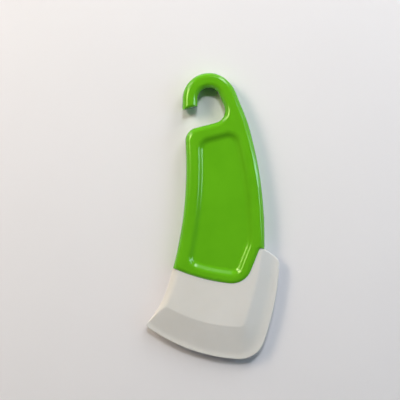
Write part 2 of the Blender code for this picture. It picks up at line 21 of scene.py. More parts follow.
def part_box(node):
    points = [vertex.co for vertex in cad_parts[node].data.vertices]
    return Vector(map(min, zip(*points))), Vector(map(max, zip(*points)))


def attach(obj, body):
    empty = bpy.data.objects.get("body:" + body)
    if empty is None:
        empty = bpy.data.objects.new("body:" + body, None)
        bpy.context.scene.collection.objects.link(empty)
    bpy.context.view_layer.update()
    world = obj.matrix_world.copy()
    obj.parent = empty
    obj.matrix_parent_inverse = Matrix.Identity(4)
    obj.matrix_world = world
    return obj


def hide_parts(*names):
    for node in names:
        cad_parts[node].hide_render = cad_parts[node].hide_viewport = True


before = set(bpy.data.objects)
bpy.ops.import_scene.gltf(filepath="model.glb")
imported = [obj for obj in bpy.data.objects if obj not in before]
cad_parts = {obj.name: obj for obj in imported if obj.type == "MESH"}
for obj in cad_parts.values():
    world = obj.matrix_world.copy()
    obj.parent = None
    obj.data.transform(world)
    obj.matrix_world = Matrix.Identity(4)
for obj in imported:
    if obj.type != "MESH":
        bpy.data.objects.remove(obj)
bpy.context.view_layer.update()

# Core plate: the flat stiffener that runs from the blade up into the grip, with windows for the mouldings
# to lock through. It is moulded first, from black glass-filled nylon, and the other two pieces are moulded
# over it and hide it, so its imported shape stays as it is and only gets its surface.

MILLIMETRES_PER_METRE = 1000.0


def linear(code):
    """A six-digit sRGB hex colour as the linear colour and alpha that a socket takes."""
    shown = [int(code[start : start + 2], 16) / 255 for start in (0, 2, 4)]
    parts = [part / 12.92 if part <= 0.04045 else ((part + 0.055) / 1.055) ** 2.4 for part in shown]
    return (*parts, 1.0)


def add_node(tree, kind, inputs, **settings):
    """A node with its settings. Each input, by socket name or number, is a value or a node's output."""
    node = tree.nodes.new(kind)
    for name, value in settings.items():
        setattr(node, name, value)
    for socket, value in inputs.items():
        if isinstance(value, bpy.types.NodeSocket):
            tree.links.new(value, node.inputs[socket])
        else:
            node.inputs[socket].default_value = value
    return node


def grain_scale(millimetres):
    """The scale at which a noise texture's grains are this many millimetres across."""
    return MILLIMETRES_PER_METRE / millimetres


def glass_filled_nylon():
    """Black nylon as moulded: a dull, finely pebbled skin with a slight mottle where the glass fibres lie.
    The pebbling is drawn about three times as coarse as the real one, which would be too fine to show."""
    material = bpy.data.materials.new("black_nylon_glass_filled_moulded")
    material.use_nodes = True
    tree = material.node_tree
    shader = tree.nodes["Principled BSDF"]
    place = add_node(tree, "ShaderNodeTexCoord", {}).outputs["Object"]
    mottle = add_node(
        tree, "ShaderNodeTexNoise", {"Vector": place, "Scale": grain_scale(2.5), "Detail": 4.0}
    )
    shades = add_node(tree, "ShaderNodeValToRGB", {"Fac": mottle.outputs["Fac"]})
    shades.color_ramp.elements[0].position = 0.35
    shades.color_ramp.elements[0].color = linear("18181A")
    shades.color_ramp.elements[1].position = 0.65
    shades.color_ramp.elements[1].color = linear("202022")
    pebble = add_node(
        tree, "ShaderNodeTexNoise", {"Vector": place, "Scale": grain_scale(0.35), "Detail": 2.0}
    )
    bump = add_node(
        tree, "ShaderNodeBump", {"Strength": 0.4, "Distance": 0.00003, "Height": pebble.outputs["Fac"]}
    )
    tree.links.new(shades.outputs["Color"], shader.inputs["Base Color"])
    tree.links.new(bump.outputs["Normal"], shader.inputs["Normal"])
    shader.inputs["Roughness"].default_value = 0.5
    shader.inputs["IOR"].default_value = 1.53
    return material


core_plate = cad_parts["core_plate"]
core_plate.data.materials.clear()
core_plate.data.materials.append(glass_filled_nylon())

# Handle: hook, neck, shoulder and flat grip in one injection moulding of green polypropylene, with a
# dished thumb panel on each face and a collar that the blade butts against. The mould's halves meet in a
# fine line round its middle, and its polished steel gives the glossy skin.

LENGTH = 0.1600
HANDLE_THICKNESS = 0.0100

# Hook: a bent bar that ends in a short straight arm, cut off on a slant
HOOK_RADIUS = 0.01475
HOOK_BAR = 0.0083
HOOK_ARM = 0.0048
HOOK_SETBACK = 0.00149
NECK_EASING = 0.0036
NECK_WIDTH = 0.0089
NECK_FILLET = 0.0600
MOUTH = 0.0115
MOUTH_SLANT = math.radians(14.5)
EYE_LEAN = math.radians(22.0)
EYE_FILLET = 0.0070

# Grip: hollow on the left, crowned on the right
GRIP_WIDTH = 0.0437
GRIP_OFFSET = 0.00675
LEFT_BOW = 0.2212
LEFT_HOLLOW_Y = 0.0277
RIGHT_BOW = 0.2264
RIGHT_CROWN_Y = -0.0121
SHOULDER_FILLET = 0.0073

# Collar, and the line of the blade's heel, which the handle overhangs by a short ledge
COLLAR_BOW = 0.1000
COLLAR_LOW_X = 0.0190
COLLAR_LOW_Y = -0.0377
COLLAR_FILLET = 0.0115
COLLAR_LEAN = math.radians(21.7)
HEEL_Y = -0.0183
HEEL_BOW = 0.0323
HEEL_TILT = math.radians(27.7)
LEDGE = 0.0025
LEDGE_FILLET = 0.0018

# A rounded edge: its radius, and how far it falls before it is cut off upright
Round = namedtuple("Round", "radius drop")
EDGE_ROUND = Round(0.0032, 0.0032)
COLLAR_ROUND = Round(0.0032, 0.00094)
LEDGE_ROUND = Round(0.0006, 0.0006)
TIP_ROUND = Round(0.0018, 0.0018)
EDGE_STEPS = 16

# Thumb panel: its depth, the width of its slope, the rim round it and its fillets
PANEL_DEPTH = 0.0018
PANEL_SLOPE = 0.0055
RIM_LEFT = 0.0053
RIM_RIGHT = 0.0053
RIM_TOP = 0.0054
RIM_FOOT = 0.0033
PANEL_TOP_LEFT_FILLET = 0.0085
PANEL_TOP_RIGHT_FILLET = 0.0085
PANEL_LOW_LEFT_FILLET = 0.0078
PANEL_LOW_RIGHT_FILLET = 0.0075
PANEL_HIP_FILLET = 0.0200
SLOPE_STEPS = 14

# Parting line, the seam at the blade, and the narrow flat rows that keep the shading level beside a round
PARTING_DEPTH = 0.00005
PARTING_HALF = 0.00011
SEAM_GAP = 0.00002
SUPPORT = 0.0001

# Fineness: the longest step along an outline, the widest turn of a step, and the limits of fillets
HANDLE_STEP = 0.0007
WIDEST_TURN = math.radians(5)
SMALLEST_FILLET = 0.0003
LONGEST_ARC = math.radians(270)
WELD = 0.000001
SHARP_ANGLE = math.radians(35)

# An outline is a list of sides, each a curve with the corner that ends it. A corner has a point near it,
# which chooses between two crossings, and a fillet's radius: less than 0 in a hollow corner, 0 where the
# corner is sharp, and TANGENT where one curve runs into the next.
Line = namedtuple("Line", "point heading")
Arc = namedtuple("Arc", "centre radius")
Corner = namedtuple("Corner", "near radius")
Side = namedtuple("Side", "curve corner")

TANGENT = None


def inset(curve, distance):
    """The curve moved into the solid. An arc's radius is negative where the outline is hollow."""
    if isinstance(curve, Line):
        return Line(curve.point + 1j * distance * curve.heading, curve.heading)
    return Arc(curve.centre, curve.radius - distance)


def reverse(curve):
    """The curve as the piece on its other side sees it."""
    if isinstance(curve, Line):
        return Line(curve.point, -curve.heading)
    return Arc(curve.centre, -curve.radius)


def foot(line, point):
    """The point of a line that is closest to a given point."""
    along = (line.heading.conjugate() * (point - line.point)).real
    return line.point + along * line.heading


def meet(one, other, near):
    """Where two curves cross, at the crossing closest to a given point."""
    if isinstance(one, Line) and isinstance(other, Line):
        across = (one.heading.conjugate() * other.heading).imag
        along = ((other.point - one.point).conjugate() * other.heading).imag / across
        return one.point + along * one.heading
    if isinstance(one, Line):
        one, other = other, one
    if isinstance(other, Line):
        middle = foot(other, one.centre)
        half = math.sqrt(one.radius**2 - abs(middle - one.centre) ** 2) * other.heading
    else:
        apart = other.centre - one.centre
        along = (abs(apart) ** 2 + one.radius**2 - other.radius**2) / (2 * abs(apart))
        middle = one.centre + along * apart / abs(apart)
        half = math.sqrt(one.radius**2 - along**2) * 1j * apart / abs(apart)
    return min(middle + half, middle - half, key=lambda point: abs(point - near))


def touch(one, other):
    """Where two curves that are tangent by construction touch."""
    if isinstance(one, Line):
        return foot(one, other.centre)
    if isinstance(other, Line):
        return foot(other, one.centre)
    return one.centre + one.radius * (other.centre - one.centre) / (one.radius - other.radius)


def outward(curve, fillet_centre, radius):
    """The direction that points out of the solid where a fillet touches the curve."""
    if isinstance(curve, Line):
        return -1j * curve.heading
    return (fillet_centre - curve.centre) / (curve.radius - radius)


def joint(one, other, corner):
    """How one side passes into the next: its end, the next one's start, and the fillet's arc, if any."""
    if corner.radius is TANGENT:
        point = touch(one, other)
        return point, point, None
    if corner.radius == 0:
        point = meet(one, other, corner.near)
        return point, point, None
    radius = corner.radius
    centre = meet(inset(one, radius), inset(other, radius), corner.near)
    start = centre + radius * outward(one, centre, radius)
    end = centre + radius * outward(other, centre, radius)
    return start, end, Arc(centre, radius)


def runs(outline):
    """The stretches of an outline: curve, start, end, the side each belongs to, and if it is a fillet."""
    joints = []
    for side, after in zip(outline, outline[1:] + outline[:1]):
        joints.append(joint(side.curve, after.curve, side.corner))
    stretches = []
    for index, side in enumerate(outline):
        start, end, fillet = joints[index]
        stretches.append((side.curve, joints[index - 1][1], start, index, False))
        if fillet:
            stretches.append((fillet, start, end, index, True))
    return close_up(stretches)


def close_up(stretches):
    """The stretches, with any arc that insets have used up shrunk to where its neighbours cross."""
    for index, (curve, start, end, side, fillet) in enumerate(stretches):
        if isinstance(curve, Arc) and abs(sweep(curve, start, end)) > LONGEST_ARC:
            following = (index + 1) % len(stretches)
            before, after = stretches[index - 1], stretches[following]
            crossing = meet(before[0], after[0], start)
            stretches[index - 1] = (*before[:2], crossing, *before[3:])
            stretches[index] = (curve, crossing, crossing, side, fillet)
            stretches[following] = (after[0], crossing, *after[2:])
    return stretches


def sweep(arc, start, end):
    """The angle from start to end, positive on a crowned arc and negative on a hollow one."""
    if start == end:
        return 0.0
    turn = cmath.phase((end - arc.centre) / (start - arc.centre)) % math.tau
    return turn if arc.radius > 0 else turn - math.tau


def steps_round(outline, longest):
    """The steps along each stretch that keep within a longest step and, on an arc, the widest turn."""
    counts = []
    for curve, start, end, _, _ in runs(outline):
        turn = 0.0 if isinstance(curve, Line) else abs(sweep(curve, start, end))
        length = abs(end - start) if isinstance(curve, Line) else abs(curve.radius) * turn
        counts.append(max(1, math.ceil(length / longest), math.ceil(turn / WIDEST_TURN)))
    return counts


def trace(outline, counts):
    """The points of an outline. Outlines traced with the same counts match point by point."""
    points = []
    for (curve, start, end, _, _), count in zip(runs(outline), counts):
        for index in range(count):
            if isinstance(curve, Line):
                points.append(start + (end - start) * index / count)
            else:
                turn = cmath.exp(1j * sweep(curve, start, end) * index / count)
                points.append(curve.centre + (start - curve.centre) * turn)
    return points


def offset(outline, insets):
    """An outline with each side moved into the solid by its own inset, and its fillets fitted to that."""
    moved = []
    for side, own, after in zip(outline, insets, insets[1:] + insets[:1]):
        corner = side.corner
        if corner.radius:
            if corner.radius > 0:
                radius = max(corner.radius - max(own, after), SMALLEST_FILLET)
            else:
                radius = corner.radius - min(own, after)
            corner = corner._replace(radius=radius)
        moved.append(Side(inset(side.curve, own), corner))
    return moved


def parallel(outline, distance):
    """An outline with every side moved into the solid by the same distance."""
    return offset(outline, [distance] * len(outline))


def hook_centre():
    """The middle of the hook's bend, set back from the crowned right side of the grip."""
    back = grip_right()
    reach = back.radius - HOOK_SETBACK - HOOK_RADIUS
    height = LENGTH / 2 - HOOK_RADIUS
    return complex(back.centre.real + math.sqrt(reach**2 - (height - back.centre.imag) ** 2), height)


def grip_left():
    x = GRIP_OFFSET - GRIP_WIDTH / 2
    return Arc(complex(x - LEFT_BOW, LEFT_HOLLOW_Y), -LEFT_BOW)


def grip_right():
    x = GRIP_OFFSET + GRIP_WIDTH / 2
    return Arc(complex(x - RIGHT_BOW, RIGHT_CROWN_Y), RIGHT_BOW)


def hook_end():
    """The slanting cut across the hook's arm."""
    middle = hook_centre() - complex(HOOK_RADIUS - HOOK_BAR / 2, HOOK_ARM)
    return Line(middle, cmath.rect(1, MOUTH_SLANT))


def shoulder():
    """The grip's upper edge, parallel to the hook's end across the mouth."""
    end = hook_end()
    return Line(end.point - 1j * MOUTH * end.heading, -end.heading)


def eye_side():
    """The straight right side of the eye, tangent to the inside of the hook's bend."""
    heading = cmath.rect(1, EYE_LEAN - math.pi / 2)
    return Line(hook_centre() + 1j * (HOOK_RADIUS - HOOK_BAR) * heading, heading)


def neck():
    """The straight outer side of the neck, parallel to the eye's straight side."""
    return inset(reverse(eye_side()), -NECK_WIDTH)


def collar():
    return Arc(complex(COLLAR_LOW_X, COLLAR_LOW_Y + COLLAR_BOW), COLLAR_BOW)


def heel_start():
    """The end of the collar on the grip's right side, where the blade's heel begins."""
    back = grip_right()
    reach = math.sqrt(back.radius**2 - (HEEL_Y - back.centre.imag) ** 2)
    return complex(back.centre.real + reach, HEEL_Y)


def heel():
    return Arc(heel_start() - cmath.rect(HEEL_BOW, math.pi / 2 - HEEL_TILT), HEEL_BOW)


def ledge_start():
    """The inner end of the short ledge by which the handle overhangs the heel."""
    return meet(heel(), Line(heel_start() - LEDGE, 1j), heel_start())


def collar_side():
    """The leaning stretch of the collar between its rounded corner and the ledge."""
    return Line(ledge_start(), cmath.rect(1, math.pi / 2 - COLLAR_LEAN))


def collar_left():
    """The end of the collar on the grip's left side."""
    return meet(grip_left(), collar(), complex(GRIP_OFFSET - GRIP_WIDTH / 2, COLLAR_LOW_Y))


def collar_corner():
    """The sharp corner of the collar's arc and its leaning stretch, before it is rounded."""
    return meet(collar(), collar_side(), complex(COLLAR_LOW_X, COLLAR_LOW_Y))


def handle_outline():
    """The whole handle, from its shoulder down the left side and round."""
    bend = hook_centre()
    inner = HOOK_RADIUS - HOOK_BAR
    low_left = bend - complex(HOOK_RADIUS, HOOK_RADIUS)
    return [
        Side(grip_left(), Corner(collar_left(), 0)),
        Side(collar(), Corner(collar_corner(), COLLAR_FILLET)),
        Side(collar_side(), Corner(ledge_start(), -LEDGE_FILLET)),
        Side(reverse(heel()), Corner(heel_start(), 0)),
        Side(grip_right(), Corner(bend + HOOK_RADIUS, NECK_FILLET)),
        Side(neck(), Corner(bend - 1j * NECK_EASING, HOOK_RADIUS + NECK_EASING)),
        Side(Arc(bend, HOOK_RADIUS), Corner(bend, TANGENT)),
        Side(Line(bend - HOOK_RADIUS, -1j), Corner(low_left, 0)),
        Side(hook_end(), Corner(low_left, 0)),
        Side(Line(bend - inner, 1j), Corner(bend, TANGENT)),
        Side(Arc(bend, -inner), Corner(bend, TANGENT)),
        Side(eye_side(), Corner(low_left, -EYE_FILLET)),
        Side(shoulder(), Corner(low_left - 1j * MOUTH, SHOULDER_FILLET)),
    ]


def panel_outline():
    """The lip of the thumb panel, which keeps a rim inside the handle's edges."""
    hip = heel_start()
    top_right = complex(hip.real, shoulder().point.imag)
    return [
        Side(inset(grip_left(), RIM_LEFT), Corner(collar_left(), PANEL_LOW_LEFT_FILLET)),
        Side(inset(collar(), RIM_FOOT), Corner(collar_corner(), PANEL_LOW_RIGHT_FILLET)),
        Side(inset(collar_side(), RIM_FOOT), Corner(hip, PANEL_HIP_FILLET)),
        Side(inset(grip_right(), RIM_RIGHT), Corner(top_right, PANEL_TOP_RIGHT_FILLET)),
        Side(inset(shoulder(), RIM_TOP), Corner(shoulder().point, PANEL_TOP_LEFT_FILLET)),
    ]


def round_run(edge):
    """The width in plan of a rounded edge, which is cut off upright where it has fallen by its drop."""
    return math.sqrt(edge.radius**2 - (edge.radius - edge.drop) ** 2)


def edge_inset(height, half_thickness, edge):
    """How far a rounded edge has drawn in at this height above the parting plane."""
    rise = height - (half_thickness - edge.radius)
    rise = min(edge.radius, max(edge.radius - edge.drop, rise))
    return round_run(edge) - math.sqrt(edge.radius**2 - rise**2)


def add_ring(sheet, points, heights):
    """A closed row of vertices over plan points, with one height for each."""
    return [sheet.verts.new((point.real, point.imag, height)) for point, height in zip(points, heights)]


def add_level_ring(sheet, points, height):
    """A closed row of vertices over plan points, all at one height."""
    return add_ring(sheet, points, [height] * len(points))


def skin(sheet, rings):
    """Quads between rings that match point by point, from the lowest ring up."""
    for lower, upper in zip(rings, rings[1:]):
        for index in range(len(lower)):
            sheet.faces.new((lower[index - 1], lower[index], upper[index], upper[index - 1]))


def fill(sheet, height):
    """A level face between the open edges at this height."""
    edges = []
    for edge in sheet.edges:
        if edge.is_boundary and all(abs(vert.co.z - height) < WELD for vert in edge.verts):
            edges.append(edge)
    bmesh.ops.triangle_fill(sheet, use_beauty=True, edges=edges)


def add_piece(name, sheet):
    """A piece from its half above the parting plane, which is mirrored below it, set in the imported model's
    frame, and shaded smooth but for its sharp edges."""
    half = sheet.verts[:] + sheet.edges[:] + sheet.faces[:]
    bmesh.ops.mirror(sheet, geom=half, axis="Z", merge_dist=WELD)
    bmesh.ops.recalc_face_normals(sheet, faces=sheet.faces[:])
    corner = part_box("handle")[1]
    right = GRIP_OFFSET + GRIP_WIDTH / 2
    place = Vector((corner.x - right, corner.y - LENGTH / 2, corner.z - HANDLE_THICKNESS / 2))
    bmesh.ops.translate(sheet, verts=sheet.verts[:], vec=place)
    mesh = bpy.data.meshes.new(name)
    sheet.to_mesh(mesh)
    sheet.free()
    mesh.shade_smooth()
    mesh.set_sharp_from_angle(angle=SHARP_ANGLE)
    piece = bpy.data.objects.new(name, mesh)
    bpy.context.scene.collection.objects.link(piece)
    return piece


def add_handle_edges(sheet):
    """Rings up the outer edge, from the parting line over the rounded edge to the level rim."""
    half = HANDLE_THICKNESS / 2
    outline = handle_outline()
    counts = steps_round(outline, HANDLE_STEP)
    # One rounded edge and one gap to the blade for each side of the outline, in its order
    edges = [EDGE_ROUND, COLLAR_ROUND, COLLAR_ROUND, LEDGE_ROUND]
    edges += [EDGE_ROUND] * 4 + [TIP_ROUND] + [EDGE_ROUND] * 4
    gaps = [0.0] + [SEAM_GAP] * 3 + [0.0] * 9
    heights = [PARTING_HALF, 2 * PARTING_HALF]
    for index in range(EDGE_STEPS + 1):
        heights.append(half - EDGE_ROUND.radius * (1 - math.sin(math.pi / 2 * index / EDGE_STEPS)))
    rings = [add_level_ring(sheet, trace(parallel(outline, PARTING_DEPTH), counts), 0.0)]
    for height in heights:
        insets = [edge_inset(height, half, edge) + gap for edge, gap in zip(edges, gaps)]
        rings.append(add_level_ring(sheet, trace(offset(outline, insets), counts), height))
    insets = [round_run(edge) + gap + SUPPORT for edge, gap in zip(edges, gaps)]
    rings.append(add_level_ring(sheet, trace(offset(outline, insets), counts), half))
    skin(sheet, rings)


def panel_slope():
    """The panel's slope as pairs of run and drop: two equal arcs, tangent to the rim, to each other and to
    the floor, with a narrow level row before and after them."""
    steepest = 2 * math.atan(PANEL_DEPTH / PANEL_SLOPE)
    radius = PANEL_SLOPE / (2 * math.sin(steepest))
    slope = []
    for index in range(SLOPE_STEPS + 1):
        turn = steepest * index / SLOPE_STEPS
        slope.append((radius * math.sin(turn), radius * (1 - math.cos(turn))))
    slope += [(PANEL_SLOPE - run, PANEL_DEPTH - drop) for run, drop in slope[-2::-1]]
    return [(-SUPPORT, 0.0)] + slope + [(PANEL_SLOPE + SUPPORT, PANEL_DEPTH)]


def add_panel(sheet):
    """Rings down the slope of the thumb panel, from the level rim to its level floor."""
    outline = panel_outline()
    counts = steps_round(outline, HANDLE_STEP)
    rings = []
    for run, drop in panel_slope():
        height = HANDLE_THICKNESS / 2 - drop
        rings.append(add_level_ring(sheet, trace(parallel(outline, run), counts), height))
    skin(sheet, rings)


def make_handle():
    """The outer edge and the thumb panel, with level faces between them and on the panel's floor."""
    sheet = bmesh.new()
    add_handle_edges(sheet)
    add_panel(sheet)
    bmesh.ops.remove_doubles(sheet, verts=sheet.verts[:], dist=WELD)
    fill(sheet, HANDLE_THICKNESS / 2)
    fill(sheet, HANDLE_THICKNESS / 2 - PANEL_DEPTH)
    return add_piece("handle_moulding", sheet)


def glossy_polypropylene():
    """Green polypropylene from a polished mould: an even, saturated skin, glossy, with a slight orange peel
    that breaks up its highlights and a very faint cloudiness of the pigment."""
    material = bpy.data.materials.new("green_polypropylene_gloss_moulded")
    material.use_nodes = True
    tree = material.node_tree
    shader = tree.nodes["Principled BSDF"]
    place = add_node(tree, "ShaderNodeTexCoord", {}).outputs["Object"]
    cloud = add_node(
        tree, "ShaderNodeTexNoise", {"Vector": place, "Scale": grain_scale(14.0), "Detail": 3.0}
    )
    shades = add_node(tree, "ShaderNodeValToRGB", {"Fac": cloud.outputs["Fac"]})
    shades.color_ramp.elements[0].position = 0.3
    shades.color_ramp.elements[0].color = linear("5FAD15")
    shades.color_ramp.elements[1].position = 0.7
    shades.color_ramp.elements[1].color = linear("64B318")
    film = add_node(
        tree, "ShaderNodeTexNoise", {"Vector": place, "Scale": grain_scale(1.6), "Detail": 3.0}
    )
    dull = add_node(
        tree,
        "ShaderNodeMapRange",
        {"Value": film.outputs["Fac"], "From Min": 0.3, "From Max": 0.7, "To Min": 0.11, "To Max": 0.15},
    )
    peel = add_node(
        tree, "ShaderNodeTexNoise", {"Vector": place, "Scale": grain_scale(1.1), "Detail": 1.0}
    )
    bump = add_node(
        tree, "ShaderNodeBump", {"Strength": 0.25, "Distance": 0.00002, "Height": peel.outputs["Fac"]}
    )
    tree.links.new(shades.outputs["Color"], shader.inputs["Base Color"])
    tree.links.new(dull.outputs["Result"], shader.inputs["Roughness"])
    tree.links.new(bump.outputs["Normal"], shader.inputs["Normal"])
    shader.inputs["IOR"].default_value = 1.49
    return material


handle = make_handle()
handle.data.materials.append(glossy_polypropylene())
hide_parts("handle")
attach(handle, "root")

# Blade: one soft moulding of white silicone rubber, bonded to the collar and the plate as it is moulded
# over them. Its back is fully rounded, and two long facets fall from a flat middle to a thin wiping lip
# along the front and the right side, with a crisp crease at the front and a soft one at the side.

WIDTH = 0.0746
BLADE_THICKNESS = 0.0080

# Outline, from the wiping side and the front to the toe
SIDE_BOW = 0.1607
SIDE_CROWN_Y = -0.0176
FRONT_BOW = 0.0935
FRONT_LOW_X = 0.0185
FRONT_FILLET = 0.0147
HEEL_FILLET = 0.0052
TOE_REACH = 0.0381
TOE_BEND_Y = -0.0400
TOE_HOLLOW = 0.0550
TOE_FILLET = 0.0016

# Facets: the lip with its flat land, the width of each facet, and the bow of its crease
LIP_THICKNESS = 0.0016
LIP_LAND = 0.0014
LIP_RISE = 0.00006
FRONT_FACET_TOE = 0.0155
FRONT_FACET_CORNER = 0.0196
FRONT_CREASE_X = 0.0137
FRONT_CREASE_BOW = 0.0810
SIDE_FACET_TOP = 0.0107
SIDE_FACET_LOW = 0.0152
SIDE_CREASE_BOW = 0.2290
CREASE_FILLET = 0.0030
FACET_OVERRUN = 0.0060

# How the facets climb. Where they reach the flat's height and how long they ease off the lip are shares of
# the way to the creases' arcs. A softness is the difference in height within which two surfaces blend.
CREASE_ALONG = 0.94
FRONT_EASING = 0.15
SIDE_EASING = 0.45
FRONT_SOFTNESS = 0.00009
SIDE_SOFTNESS = 0.00038
BACK_SOFTNESS = 0.0004

# A rounded edge of the blade: its width in plan, and how far the flat and a facet fall over it
Edge = namedtuple("Edge", "inset drop facet_drop")
BACK_EDGE = Edge(0.0045, 0.0039, 0.00015)
LIP_EDGE = Edge(0.0005, 0.0005, 0.0005)
HEEL_EDGE = Edge(0.0006, 0.0006, 0.0006)
COLLAR_EDGE = Edge(0.0001, 0.0001, 0.0001)
BLADE_EDGE_STEPS = 14

# Fineness. The facets' own sheet has rows up to the creases' arcs and some more beyond them. The upper
# face has points along the facets, closest where they reach the flat, and a grid of equal triangles on the
# flat, counted in pitches. All of its points keep a margin from the rounded edge.
BLADE_STEP = 0.0006
SHEET_ROWS = 50
SHEET_EXTRA_ROWS = 10
LAND_ROW = 0.0009
SLOPE_ROWS = 30
SLOPE_ROW_STEP = 0.03
CREASE_ROWS = 10
CREASE_ROWS_START = 0.885
CREASE_ROW_STEP = 0.0125
FLAT_ROWS = [1.03, 1.06]
GRID_START = 1.09
GRID_PITCH = 0.0010
GRID_COUNT = 90
GRID_LEFT = 45
GRID_FRONT = 80
EDGE_MARGIN = 0.00022

# For the ray and triangle functions: a height above everything, the choice of the triangles inside the
# border, and the distance within which two points are one
OUT_OF_REACH = 1.0
FACES_INSIDE = 1
ONE_POINT_MILLIMETRES = 1e-6


def front():
    return Arc(complex(FRONT_LOW_X, FRONT_BOW - LENGTH / 2), FRONT_BOW)


def blade_side():
    return Arc(complex(WIDTH / 2 - SIDE_BOW, SIDE_CROWN_Y), SIDE_BOW)


def toe():
    """The sharp corner of the toe, before it is rounded."""
    arc = front()
    drop = math.sqrt(arc.radius**2 - (TOE_REACH + arc.centre.real) ** 2)
    return complex(-TOE_REACH, arc.centre.imag - drop)


def toe_side():
    """The hollow that carries the grip's left side on to the toe, tangent to it."""
    left = grip_left()
    bend = meet(left, Line(1j * TOE_BEND_Y, 1), complex(-WIDTH / 2, TOE_BEND_Y))
    return Arc(bend + TOE_HOLLOW * (left.centre - bend) / LEFT_BOW, -TOE_HOLLOW)


def bowed(start, end, radius):
    """The crowned arc of a given radius from one point to another."""
    chord = end - start
    back = math.sqrt(radius**2 - abs(chord / 2) ** 2)
    return Arc((start + end) / 2 + 1j * back * chord / abs(chord), radius)


def front_crease():
    at_toe = meet(inset(front(), FRONT_FACET_TOE), Line(toe(), 1j), toe())
    at_corner = meet(inset(front(), FRONT_FACET_CORNER), Line(FRONT_CREASE_X + 0j, 1j), toe())
    return bowed(at_toe, at_corner, FRONT_CREASE_BOW)


def side_crease():
    low_y = FRONT_FACET_CORNER - LENGTH / 2
    high = meet(blade_side(), Line(1j * HEEL_Y, 1), complex(WIDTH / 2, HEEL_Y)) - SIDE_FACET_TOP
    low = meet(blade_side(), Line(1j * low_y, 1), complex(WIDTH / 2, low_y)) - SIDE_FACET_LOW
    return bowed(low, high, SIDE_CREASE_BOW)


def between(one, other, along):
    """An arc part of the way from one arc to another."""
    centre = one.centre + (other.centre - one.centre) * along
    return Arc(centre, one.radius + (other.radius - one.radius) * along)


def facet_level(lip_inset, along):
    """The facets' plan part of the way from the lip to the creases, run on past the back and the heel."""
    far_left = complex(-TOE_REACH - FACET_OVERRUN, HEEL_Y)
    far_top = complex(0.0, HEEL_Y + FACET_OVERRUN)
    front_curve = between(inset(front(), lip_inset), front_crease(), along)
    side_curve = between(inset(blade_side(), lip_inset), side_crease(), along)
    fillet = FRONT_FILLET + (CREASE_FILLET - FRONT_FILLET) * along
    return [
        Side(Line(far_left, -1j), Corner(toe(), 0)),
        Side(front_curve, Corner(complex(WIDTH / 2, -LENGTH / 2), fillet)),
        Side(side_curve, Corner(complex(WIDTH / 2, HEEL_Y), 0)),
        Side(Line(far_top, -1), Corner(far_left, 0)),
    ]


def blade_outline():
    """The blade in front of the collar, from the collar's left end down the back and round."""
    return [
        Side(grip_left(), Corner(collar_left(), TANGENT)),
        Side(toe_side(), Corner(toe(), TOE_FILLET)),
        Side(front(), Corner(complex(WIDTH / 2, -LENGTH / 2), FRONT_FILLET)),
        Side(blade_side(), Corner(complex(WIDTH / 2, HEEL_Y), HEEL_FILLET)),
        Side(heel(), Corner(ledge_start(), LEDGE_FILLET)),
        Side(reverse(collar_side()), Corner(collar_corner(), -COLLAR_FILLET)),
        Side(reverse(collar()), Corner(collar_left(), 0)),
    ]


def eased(share):
    """A share from 0 to 1 that sets off and arrives gently."""
    return share * share * (3 - 2 * share)


def spread(outline, counts, values):
    """The value of each traced point's side, passing smoothly from one side's to the next on a fillet."""
    spread_out = []
    for (_, _, _, side, fillet), count in zip(runs(outline), counts):
        after = values[(side + 1) % len(values)] if fillet else values[side]
        for index in range(count):
            spread_out.append(values[side] + (after - values[side]) * eased(index / count))
    return spread_out


def facet_height(along, side_share):
    """The facet's height, which leaves the lip's land gently and then climbs straight on past the crease.
    The share of the side is 0 on the front's facet and 1 on the side's."""
    easing = FRONT_EASING + (SIDE_EASING - FRONT_EASING) * side_share
    slope = 1 / (CREASE_ALONG - easing / 2)
    climbed = slope * along**2 / (2 * easing) if along < easing else slope * (along - easing / 2)
    land = LIP_THICKNESS / 2 + LIP_RISE
    return land + (BLADE_THICKNESS / 2 - land) * climbed


def lower_of(one, other, softness):
    """The lower of two heights, rounded over where they are within the softness of each other."""
    overlap = max(0.0, 1 - abs(one - other) / softness)
    return min(one, other) - softness * overlap**2 / 4


class Facets:
    """The surface of both facets as a fine sheet, which is asked for its height over a plan point."""

    def __init__(self):
        first = facet_level(LIP_LAND, 0.0)
        self.counts = steps_round(first, BLADE_STEP)
        side_share = spread(first, self.counts, [0.0, 0.0, 1.0, 1.0])
        self.softness = [FRONT_SOFTNESS + (SIDE_SOFTNESS - FRONT_SOFTNESS) * share for share in side_share]
        before = self.points(-LIP_LAND, 0.0)
        places = [(point.real, point.imag, LIP_THICKNESS / 2 - LIP_RISE) for point in before]
        for index in range(SHEET_ROWS + SHEET_EXTRA_ROWS + 1):
            along = index / SHEET_ROWS
            points = self.points(LIP_LAND, along)
            places += [(p.real, p.imag, facet_height(along, share)) for p, share in zip(points, side_share)]
        width = len(before)
        quads = []
        for low in range(0, len(places) - width, width):
            for index in range(width):
                after = (index + 1) % width
                quads.append((low + index, low + after, low + width + after, low + width + index))
        self.tree = BVHTree.FromPolygons(places, quads)

    def points(self, lip_inset, along):
        """The points of one level of the facets."""
        return trace(facet_level(lip_inset, along), self.counts)

    def over(self, point):
        """The sheet's height over a plan point and the softness of the crease there. Over the middle of
        the flat, where there is no sheet, the height is out of reach."""
        above = Vector((point.real, point.imag, OUT_OF_REACH))
        hit, _, quad, _ = self.tree.ray_cast(above, Vector((0.0, 0.0, -1.0)))
        if hit is None:
            return OUT_OF_REACH, FRONT_SOFTNESS
        return hit.z, self.softness[quad % len(self.softness)]


